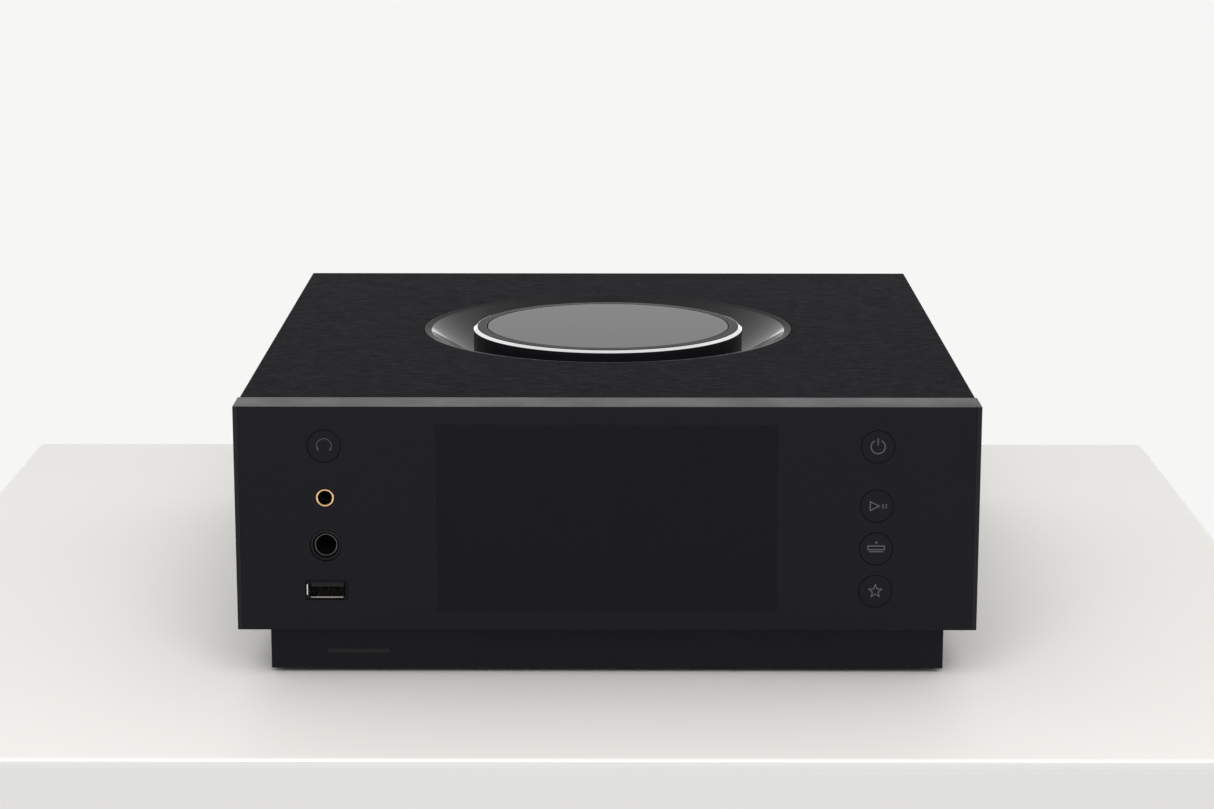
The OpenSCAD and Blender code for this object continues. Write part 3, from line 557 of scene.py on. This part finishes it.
wheel = lathe(
    "dial_wall",
    [
        (DIAL_R, BOWL_FLOOR + 1.6),
        (DIAL_R, WHEEL_TOP - 0.15),
        (RIM_SEAT_R, WHEEL_TOP - 0.15),
        (RIM_SEAT_R, WHEEL_SHOULDER),
        (WALL_IN, WHEEL_SHOULDER),
        (WALL_IN, WEB_TOP),
        (BORE_R, WEB_TOP),
        (BORE_R, WEB_LOW),
        (STEP_R, WEB_LOW),
        (STEP_R, SKIRT_LOW),
        (BEARING_R, SKIRT_LOW),
        (BEARING_R, WEB_LOW),
        (WALL_IN, WEB_LOW),
        (WALL_IN, BOWL_FLOOR + 1.6),
    ],
    "wheel",
    "dial",
)
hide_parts("dial_wheel")

rim = lathe(
    "dial_bevel",
    [
        (RIM_SEAT_R, WHEEL_TOP - 0.15),
        (DIAL_R - 0.07, WHEEL_TOP - 0.15),
        (DIAL_R - 0.02, WHEEL_TOP - 0.1),
        (DIAL_R - 0.02, WHEEL_TOP - 0.05),
        (DIAL_R - 0.07, WHEEL_TOP + 0.02),
        (RING_OUT + 0.36, DISC_Z - 0.145),
        (RING_OUT + 0.28, DISC_Z - 0.13),
        (RING_OUT + 0.20, DISC_Z - 0.135),
        (RING_OUT + 0.12, WHEEL_TOP - 0.3),
        (WALL_IN, WHEEL_TOP - 0.3),
        (WALL_IN, WHEEL_SHOULDER),
        (RIM_SEAT_R, WHEEL_SHOULDER),
    ],
    "rim",
    "dial",
)
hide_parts("dial_rim")

flat_ring = lathe(
    "dial_flat_ring",
    [
        (RING_OUT, DISC_Z - 0.8),
        (RING_OUT, DISC_Z - 0.10),
        (RING_OUT - 0.08, DISC_Z),
        (RING_IN + 0.1, DISC_Z),
        (RING_IN + 0.02, DISC_Z - 0.08),
        (RING_IN, DISC_FOOT_Z),
        (RING_IN + 1.5, DISC_FOOT_Z),
        (RING_IN + 1.5, DISC_Z - 0.8),
    ],
    "ring",
    "case",
)
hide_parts("dial_light_ring")

disc = lathe(
    "dial_disc",
    [
        (ON_AXIS, DISC_Z),
        (DISC_R - 0.23, DISC_Z),
        (DISC_R - 0.10, DISC_Z - 0.03),
        (DISC_R - 0.02, DISC_Z - 0.12),
        (DISC_R, DISC_Z - 0.3),
        (DISC_R, DISC_Z - DISC_T),
        (40.0, DISC_Z - DISC_T),
        (40.0, DISC_FOOT_Z),
        (38.0, DISC_FOOT_Z),
        (38.0, DISC_Z - DISC_T),
        (ON_AXIS, DISC_Z - DISC_T),
    ],
    "disc",
    "case",
)
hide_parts("dial_lens")

# ---------------------------------------------------------------- front sockets


def socket_place(node):
    """Axis of a round part of the fascia: its centre, with heights counted from the front."""
    x, _, z = middle(node)
    return (x, FRONT, z)


gold_ring = lathe(
    "balanced_gold_ring",
    [
        (2.30, 6.0),
        *arc(2.675, 0.375, 0.375, 180, 360, 12),
        (3.05, 2.5),
        (4.45, 2.5),
        (4.45, 3.7),
        (3.05, 3.7),
        (3.05, 6.0),
    ],
    "gold",
    "case",
    centre=socket_place("balanced_jack_ring"),
    axis="Y",
)
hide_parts("balanced_jack_ring")

bush = lathe(
    "headphone_bush",
    [
        (3.25, 5.5),
        (3.25, 1.75),
        (3.92, 1.75),
        (3.92, 1.0),
        (4.30, 0.42),
        (4.42, 0.30),
        (5.04, 0.30),
        (5.15, 0.35),
        (5.2, 0.48),
        (5.2, 2.5),
        (7.0, 2.5),
        (7.0, 4.0),
        (5.2, 4.0),
        (5.2, 5.5),
    ],
    "bush",
    "case",
    centre=socket_place("headphone_jack_bush"),
    axis="Y",
)
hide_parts("headphone_jack_bush")

lathe(
    "headphone_sleeve",
    [(3.34, 1.75), *arc(3.60, 1.30, 0.20, 180, 360, 10), (3.86, 1.75)],
    "contact",
    "case",
    centre=socket_place("headphone_jack_bush"),
    axis="Y",
)

# Soft rings in the gaps round the buttons
CAP_R = 5.39
GAP_R = 5.62
for key in ("headphone", "power", "play", "input", "favourite"):
    lathe(
        key + "_gasket",
        [
            (CAP_R, 0.8),
            (CAP_R, 0.20),
            (CAP_R + 0.05, 0.15),
            (GAP_R - 0.05, 0.15),
            (GAP_R, 0.20),
            (GAP_R, 0.8),
        ],
        "gasket",
        "case",
        centre=socket_place(key + "_button"),
        axis="Y",
        steps=96,
    )


def block(low, high):
    """Corners and faces of a thin strip of metal, its front edges broken."""
    x0, y0, z0 = low
    x1, y1, z1 = high
    cut = min(x1 - x0, z1 - z0) * 0.25
    verts = []
    for y, inset in ((y0, cut), (y0 + cut, 0), (y1, 0)):
        west, east, south, north = x0 + inset, x1 - inset, z0 + inset, z1 - inset
        verts += [(west, y, south), (east, y, south), (east, y, north), (west, y, north)]
    faces = [(0, 1, 2, 3), (11, 10, 9, 8)]
    for k in (0, 4):
        faces += [(k + i, k + 4 + i, k + 4 + (i + 1) % 4, k + (i + 1) % 4) for i in range(4)]
    return verts, faces


def strips(name, boxes, material):
    """One piece made of several thin strips fixed to the case."""
    verts, faces = [], []
    for low, high in boxes:
        new_verts, new_faces = block(low, high)
        faces += [tuple(len(verts) + i for i in face) for face in new_faces]
        verts += new_verts
    return make(name, verts, faces, material, "case")


def plate(name, xs, zs, open_cells, y0, y1, material, edge=0.08):
    """Flat plate on a grid of cells; the cells (column, row) in open_cells are left out."""
    verts = [(x, y, z) for y in (y0, y1) for z in zs for x in xs]
    n, layer = len(xs), len(xs) * len(zs)

    def solid(i, j):
        return 0 <= i < len(xs) - 1 and 0 <= j < len(zs) - 1 and (i, j) not in open_cells

    faces = []
    for j in range(len(zs) - 1):
        for i in range(len(xs) - 1):
            if not solid(i, j):
                continue
            a, b, c, d = j * n + i, j * n + i + 1, (j + 1) * n + i + 1, (j + 1) * n + i
            faces += [(a, b, c, d), (d + layer, c + layer, b + layer, a + layer)]
            beside = ((i, j - 1), (i + 1, j), (i, j + 1), (i - 1, j))
            for cell, (p, q) in zip(beside, ((a, b), (b, c), (c, d), (d, a))):
                if not solid(*cell):
                    faces.append((q, p, p + layer, q + layer))
    piece = make(name, verts, faces, material, "case")
    broken = piece.modifiers.new("edge", "BEVEL")
    broken.width = edge * MM
    broken.segments = 2
    return piece


usb_x, _, usb_z = middle("usb_shell")
usb_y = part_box("usb_shell")[0][1]

# Black bezel round the data socket: its opening is notched at the left and below
plate(
    "usb_bezel",
    [usb_x + x * MM for x in (-7.10, -6.82, -6.2, -5.4, 5.4, 6.2, 7.10)],
    [usb_z + z * MM for z in (-3.40, -2.90, -2.5, -1.95, 1.95, 2.5, 3.40)],
    {(i, j) for i in (2, 3, 4) for j in (2, 3, 4)} | {(1, 3), (3, 1)},
    usb_y - 0.55 * MM,
    usb_y - 0.05 * MM,
    "gasket",
)

# Bright spring tab at the left of the data socket
strips(
    "usb_side_tab",
    [
        (
            (usb_x - 6.77 * MM, usb_y - 0.40 * MM, usb_z - 1.90 * MM),
            (usb_x - 6.23 * MM, usb_y - 0.08 * MM, usb_z + 1.90 * MM),
        )
    ],
    "nickel",
)

# Spring contacts under the tongue of the data socket
strips(
    "usb_contacts",
    [
        (
            (usb_x + (x - 0.6) * MM, FRONT + 4.2 * MM, usb_z - 0.10 * MM),
            (usb_x + (x + 0.6) * MM, FRONT + 12.0 * MM, usb_z + 0.35 * MM),
        )
        for x in (-3.5, -1.1, 1.1, 3.5)
    ],
    "gold",
)

# ---------------------------------------------------------------- rear sockets

# In millimetres: the panel's outer face, how far the flanges stand out from it, and the pitch of the
# network socket's spring wires
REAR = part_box("rear_panel")[1][1] / MM
OUTPUT_PROUD = 2.02
INLET_PROUD = 3.02
CONTACT_PITCH = 1.02

# In metres: width of an output's flange, screws counted from the middle of their part, and where the
# phono and network sockets are
OUTPUT_FLANGE = 26 * MM
OUTPUT_SCREW = (9.5 * MM, 12 * MM)
INLET_SCREW = 20 * MM
PHONO_X = (0.012, 0.030)
PHONO_LOW_Z = 0.038
PHONO_PITCH = 0.018
NETWORK_Z = 0.0379


def rear_screw(name, x, z, seat):
    """Domed screw head with a round drive, on a flange whose face is at seat."""
    lathe(
        name,
        [
            (ON_AXIS, seat + 0.55),
            (0.85, seat + 0.55),
            (1.0, seat + 1.05),
            (1.7, seat + 0.95),
            (2.3, seat + 0.6),
            (2.5, seat + 0.1),
            (2.5, seat),
            (ON_AXIS, seat),
        ],
        "screw",
        "case",
        steps=48,
        centre=(x, 0.0, z),
        axis="Y",
    )


low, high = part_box("balanced_outputs")
output_z = (low[2] + high[2]) / 2
for index, x in enumerate((low[0] + OUTPUT_FLANGE / 2, high[0] - OUTPUT_FLANGE / 2), 1):
    lathe(
        f"balanced_output_insert_{index}",
        [
            (ON_AXIS, REAR - 11.6),
            (5.9, REAR - 11.6),
            (6.1, REAR - 11.3),
            (7.6, REAR - 11.3),
            (8.1, REAR - 11.7),
            (8.45, REAR - 12.1),
            (8.45, REAR - 12.9),
            (ON_AXIS, REAR - 12.9),
        ],
        "plastic",
        "case",
        steps=96,
        centre=(x, 0.0, output_z),
        axis="Y",
    )
    for side in (-1, 1):
        at = (x + side * OUTPUT_SCREW[0], output_z + side * OUTPUT_SCREW[1])
        rear_screw(f"balanced_output_screw_{index}{'ab'[side > 0]}", *at, REAR + OUTPUT_PROUD)

inlet_x, _, inlet_z = middle("mains_inlet")
for index, side in enumerate((-1, 1), 1):
    screw_x = inlet_x + side * INLET_SCREW
    rear_screw(f"mains_inlet_screw_{index}", screw_x, inlet_z, REAR + INLET_PROUD)

# Coloured rings in the mouths of the two pairs of phono sockets
phono_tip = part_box("phono_housings")[1][1] / MM
for column, phono_x in enumerate(PHONO_X, 1):
    for row, finish in enumerate(("red", "white")):
        lathe(
            f"phono_mouth_{column}_{finish}",
            [
                (1.7, phono_tip + 0.02),
                (1.7, phono_tip + 0.12),
                (1.85, phono_tip + 0.22),
                (3.0, phono_tip + 0.22),
                (3.2, phono_tip + 0.10),
                (3.2, phono_tip + 0.02),
            ],
            finish,
            "case",
            steps=64,
            centre=(phono_x, 0.0, PHONO_LOW_Z + PHONO_PITCH * row),
            axis="Y",
        )

# Black lining and gold spring wires of the network socket
net_mouth = (middle("network_socket")[0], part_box("network_socket")[1][1], NETWORK_Z)


def in_network_socket(*corners):
    """A box in the row frame from corners in millimetres from the middle of the socket's mouth."""
    return tuple(tuple(m + c * MM for m, c in zip(net_mouth, corner)) for corner in corners)


strips(
    "network_lining",
    [
        in_network_socket((-5.85, -13.5, -4.15), (5.85, -12.5, 4.15)),
        in_network_socket((-5.85, -12.4, -4.15), (-5.45, -0.8, 4.15)),
        in_network_socket((5.45, -12.4, -4.15), (5.85, -0.8, 4.15)),
        in_network_socket((-5.44, -12.4, -4.15), (5.44, -0.8, -3.75)),
    ],
    "plastic",
)
strips(
    "network_contacts",
    [
        in_network_socket(
            (CONTACT_PITCH * k - 3.77, -12.0, 2.6), (CONTACT_PITCH * k - 3.37, -3.0, 3.0)
        )
        for k in range(8)
    ],
    "gold",
)

# ---------------------------------------------------------------- icons

ICON_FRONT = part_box("power_button")[0][1] - 0.04 * MM
ICON_DEPTH = 0.06 * MM
ICON_WIDTH = 0.36


def circle_path(r, start, end, steps=40, cx=0.0, cy=0.0):
    turns = [math.radians(start + (end - start) * i / steps) for i in range(steps + 1)]
    return [(cx + r * math.cos(t), cy + r * math.sin(t)) for t in turns]


def rect_path(x0, y0, x1, y1):
    return [(x0, y0), (x1, y0), (x1, y1), (x0, y1)]


def star_path(r_out, r_in):
    points = []
    for i in range(10):
        turn = math.radians(90 + 36 * i)
        r = r_in if i % 2 else r_out
        points.append((r * math.cos(turn), r * math.sin(turn)))
    return points


def icon(button, body, paths, width=ICON_WIDTH, finish="icon"):
    x, _, z = middle(button)
    name = body + "_icon"
    strokes(name, paths, width, (x, z), ICON_FRONT, ICON_DEPTH, finish, body)


icon(
    "power_button",
    "power_key",
    [
        (circle_path(2.3, 118, 422), False),
        ([(0, 0.5), (0, 2.75)], False),
    ],
)
icon(
    "play_button",
    "play_key",
    [
        ([(-2.2, -1.5), (0.85, 0), (-2.2, 1.5)], True),
        ([(2.0, -0.85), (2.0, 0.75)], False),
        ([(3.05, -0.85), (3.05, 0.75)], False),
    ],
    0.32,
)
icon(
    "input_button",
    "input_key",
    [
        (rect_path(-2.72, -0.28, 2.72, 0.95), True),
        ([(-2.3, -0.98), (2.3, -0.98)], False),
        (circle_path(0.2, 0, 324, 9, 0.0, 2.1), True),
    ],
)
icon("favourite_button", "favourite_key", [(star_path(2.2, 1.0), True)], 0.34)
icon("headphone_button", "headphone_key", [(circle_path(2.45, -12, 192), False)], 0.28, "icon_dim")
icon_x, _, icon_z = middle("headphone_button")
strokes(
    "headphone_pads_icon",
    [([(s * 2.3, -0.35), (s * 1.95, -1.55)], False) for s in (-1, 1)],
    0.5,
    (icon_x, icon_z),
    ICON_FRONT,
    ICON_DEPTH,
    "icon_dim",
    "headphone_key",
)

# ---------------------------------------------------------------- light, floor, camera


LAMP_SIZE = (2.0, 1.6)
LAMP_AIM = Vector((0.0, -0.05, 0.0))


def lamp(name, place, power):
    """Large soft lamp aimed at the object, not seen by the camera or in reflections."""
    light = bpy.data.lights.new(name, "AREA")
    light.shape = "RECTANGLE"
    light.size, light.size_y = LAMP_SIZE
    light.energy = power
    made = bpy.data.objects.new(name, light)
    bpy.context.scene.collection.objects.link(made)
    made.location = place
    made.rotation_euler = (LAMP_AIM - Vector(place)).to_track_quat("-Z", "Y").to_euler()
    made.visible_camera = False
    made.visible_glossy = False


lamp("overhead", (0.0, -0.2, 2.2), 3.0)
lamp("front", (0.0, -1.7, 1.5), 42.0)

# Brightness of the room's parts, and the heights (0 level, 1 straight up) between which one fades
# into the next. FRONT_STARTS is the same for the way back (0 sideways, 1 straight behind).
WALL = 1.05
CEILING = 0.95
CEILING_STARTS = (0.67, 0.74)
BACKDROP = 2.05
BACKDROP_ENDS = (0.10, 0.15)
FRONT_SHARE = 0.42
FRONT_STARTS = (0.0, 0.12)
FRONT_HEIGHTS = (0.0, 0.3)
LOW_SHARE = 0.55
LOW_STARTS = (-0.12, -0.02)
SEEN = (0.923, 0.930, 0.913, 1.0)

world = bpy.data.worlds.new("studio")
bpy.context.scene.world = world
world.use_nodes = True
sky = world.node_tree
sky.nodes.clear()


def sky_ramp(value, ends, low, high):
    """low before the first end, high after the second; ends in order of value."""
    ramp = sky.nodes.new("ShaderNodeMapRange")
    ramp.interpolation_type = "SMOOTHSTEP"
    for key, number in zip(("From Min", "From Max", "To Min", "To Max"), (*ends, low, high)):
        ramp.inputs[key].default_value = number
    sky.links.new(value, ramp.inputs["Value"])
    return ramp.outputs["Result"]


def sky_times(a, b):
    times = sky.nodes.new("ShaderNodeMath")
    times.operation = "MULTIPLY"
    sky.links.new(a, times.inputs[0])
    sky.links.new(b, times.inputs[1])
    return times.outputs[0]


# A pale room: even walls, brighter just above the horizon and darker below it, with a dimmer
# ceiling and a dimmer front
coords = sky.nodes.new("ShaderNodeTexCoord")
split = sky.nodes.new("ShaderNodeSeparateXYZ")
sky.links.new(coords.outputs["Generated"], split.inputs["Vector"])
up, back = split.outputs["Z"], split.outputs["Y"]
room = sky_times(
    sky_ramp(up, CEILING_STARTS, WALL, CEILING), sky_ramp(up, BACKDROP_ENDS, BACKDROP / WALL, 1.0)
)
room = sky_times(room, sky_ramp(up, LOW_STARTS, LOW_SHARE, 1.0))
in_front = sky_ramp(back, FRONT_STARTS, 1.0, 0.0)
front_high = sky_times(in_front, sky_ramp(up, FRONT_HEIGHTS, 0.0, 1.0))
room = sky_times(room, sky_ramp(front_high, (0.0, 1.0), 1.0, FRONT_SHARE))
lit = sky.nodes.new("ShaderNodeBackground")
seen = sky.nodes.new("ShaderNodeBackground")
seen.inputs["Color"].default_value = SEEN
path = sky.nodes.new("ShaderNodeLightPath")
switch = sky.nodes.new("ShaderNodeMixShader")
sky_out = sky.nodes.new("ShaderNodeOutputWorld")
sky.links.new(room, lit.inputs["Strength"])
sky.links.new(path.outputs["Is Camera Ray"], switch.inputs["Fac"])
sky.links.new(lit.outputs["Background"], switch.inputs[1])
sky.links.new(seen.outputs["Background"], switch.inputs[2])
sky.links.new(switch.outputs["Shader"], sky_out.inputs["Surface"])

TABLE_X = (-0.257, 0.241)
TABLE_Y = (-0.211, 0.227)
TABLE_Z = (-0.45, 0.0)
TABLE_EDGE = 0.0025
corners = [(x, y, z) for z in TABLE_Z for y in TABLE_Y for x in TABLE_X]
table_mesh = bpy.data.meshes.new("table")
table_mesh.from_pydata(
    corners,
    [],
    [(0, 2, 3, 1), (4, 5, 7, 6), (0, 1, 5, 4), (2, 6, 7, 3), (0, 4, 6, 2), (1, 3, 7, 5)],
)
TABLE_FRONT_FACE = 2
table = bpy.data.objects.new("table", table_mesh)
bpy.context.scene.collection.objects.link(table)
edge = table.modifiers.new("edge", "BEVEL")
edge.width = TABLE_EDGE
edge.segments = 4
# The table's front face takes a darker copy of the table's white: painted shade on that side of the
# table
TABLE_COLOURS = {"table_white": (0.815, 0.803, 0.770), "table_front_painted_shade": (0.575, 0.570, 0.553)}
for finish_name, colour in TABLE_COLOURS.items():
    finish = Finish(finish_name, colour, 0.55, 0.0, 0.3)
    finish.vary_rough(finish.noise(9.0, 3.0), 0.05)
    table_mesh.materials.append(finish.mat)
table_mesh.polygons[TABLE_FRONT_FACE].material_index = 1

CAMERA_PLACE = (0.0014, -1.0777, 0.2979)
LENS_MM = 87.82
SENSOR_MM = 36.0
YAW, PITCH, ROLL = (math.radians(turn) for turn in (0.09, -12.11, -0.04))
camera_data = bpy.data.cameras.new("camera")
camera_data.lens = LENS_MM
camera_data.sensor_width = SENSOR_MM
camera = bpy.data.objects.new("camera", camera_data)
bpy.context.scene.collection.objects.link(camera)
camera.matrix_world = (
    Matrix.Translation(CAMERA_PLACE)
    @ Matrix.Rotation(YAW, 4, "Z")
    @ Matrix.Rotation(PITCH, 4, "X")
    @ Matrix.Rotation(ROLL, 4, "Y")
    @ Matrix.Rotation(math.radians(90), 4, "X")
)
bpy.context.scene.camera = camera
bpy.context.scene.view_settings.view_transform = "Standard"
